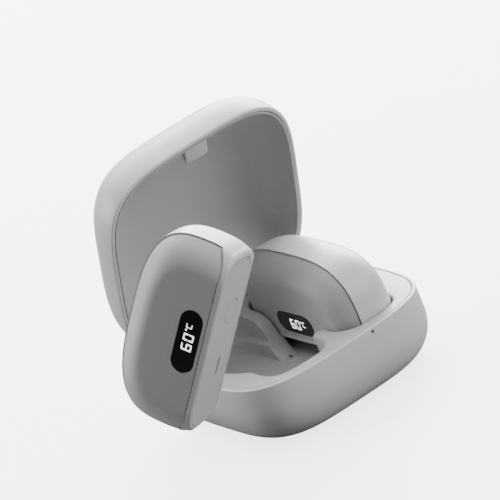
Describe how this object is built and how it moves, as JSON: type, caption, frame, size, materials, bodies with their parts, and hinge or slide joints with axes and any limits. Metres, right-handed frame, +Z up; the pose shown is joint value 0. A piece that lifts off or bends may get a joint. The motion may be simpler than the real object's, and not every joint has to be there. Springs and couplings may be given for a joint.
{
  "type": "hand warmer",
  "caption": "Pair of rounded rechargeable hand warmers with temperature displays, and a domed charging case whose hinged lid closes over both.",
  "frame": {"origin": "centre of the case's flat underside, on the floor", "axes": "+Z up, +Y towards the hinge at the back, +X to the right seen from the front; the lid hinge runs along X"},
  "size_m": [0.1393, 0.1564, 0.114],
  "materials": {
    "case_plastic": "satin smooth moulding",
    "tray_plastic": "fine matt",
    "lid_plastic": "satin smooth moulding",
    "liner_plastic": "fine matt",
    "catch_plastic": "fine matt",
    "pod_shell": "satin",
    "pod_face": "soft touch",
    "side_plastic": "fine matt",
    "button_plastic": "fine matt",
    "window_plastic": "smooth tinted",
    "steel": "plain",
    "magnet": "nickel plated",
    "gold": "plated",
    "board": "lacquered board",
    "cell_wrap": "shrink film",
    "heater": "plain sheet",
    "lamp": "clear"
  },
  "bodies": {
    "case": {"base_shell": "case_plastic", "tray": "tray_plastic", "case_battery": "cell_wrap", "case_board": "board", "usb_port": "steel", "charge_lamp": "lamp", "saddle_lamp": "lamp", "charge_pins_left": "gold", "charge_pins_right": "gold", "seat_magnet_left": "magnet", "seat_magnet_right": "magnet", "latch_magnet": "magnet", "hinge_pin": "steel"},
    "lid": {"lid_shell": "lid_plastic", "lid_liner": "liner_plastic", "lid_catch": "catch_plastic", "lid_magnet": "magnet"},
    "pod_right": {"pod_right_cover": "pod_face", "pod_right_body": "pod_shell", "pod_right_side_plate": "side_plastic", "pod_right_window": "window_plastic", "pod_right_heater_plate": "heater", "pod_right_battery_cell": "cell_wrap", "pod_right_control_board": "board", "pod_right_display_module": "lamp", "pod_right_button_switch": "steel", "pod_right_charge_contact": "gold"},
    "pod_left": {"pod_left_cover": "pod_face", "pod_left_body": "pod_shell", "pod_left_side_plate": "side_plastic", "pod_left_window": "window_plastic", "pod_left_heater_plate": "heater", "pod_left_battery_cell": "cell_wrap", "pod_left_control_board": "board", "pod_left_display_module": "lamp", "pod_left_button_switch": "steel", "pod_left_charge_contact": "gold"},
    "button_right": {"pod_right_button": "button_plastic"},
    "button_left": {"pod_left_button": "button_plastic"}
  },
  "joints": [
    {"name": "lid_hinge", "type": "hinge", "parent": "case", "child": "lid", "pos_m": [0, 0.0441, 0.0226], "axis": [-1, 0, 0], "range_deg": [-65.4, 0]},
    {"name": "pod_right_lift", "type": "slide", "parent": "case", "child": "pod_right", "axis": [0, 0, 1], "range_m": [0, 0.035]},
    {"name": "pod_left_lower", "type": "slide", "parent": "case", "child": "pod_left", "axis": [0, 0, 1], "range_m": [-0.04, 0]},
    {"name": "button_right_press", "type": "slide", "parent": "pod_right", "child": "button_right", "axis": [0, 0, 1], "range_m": [0, 0.0004], "stiffness_N_per_m": 400},
    {"name": "button_left_press", "type": "slide", "parent": "pod_left", "child": "button_left", "axis": [-0.225, 0.8501, 0.4761], "range_m": [0, 0.0004], "stiffness_N_per_m": 400}
  ]
}
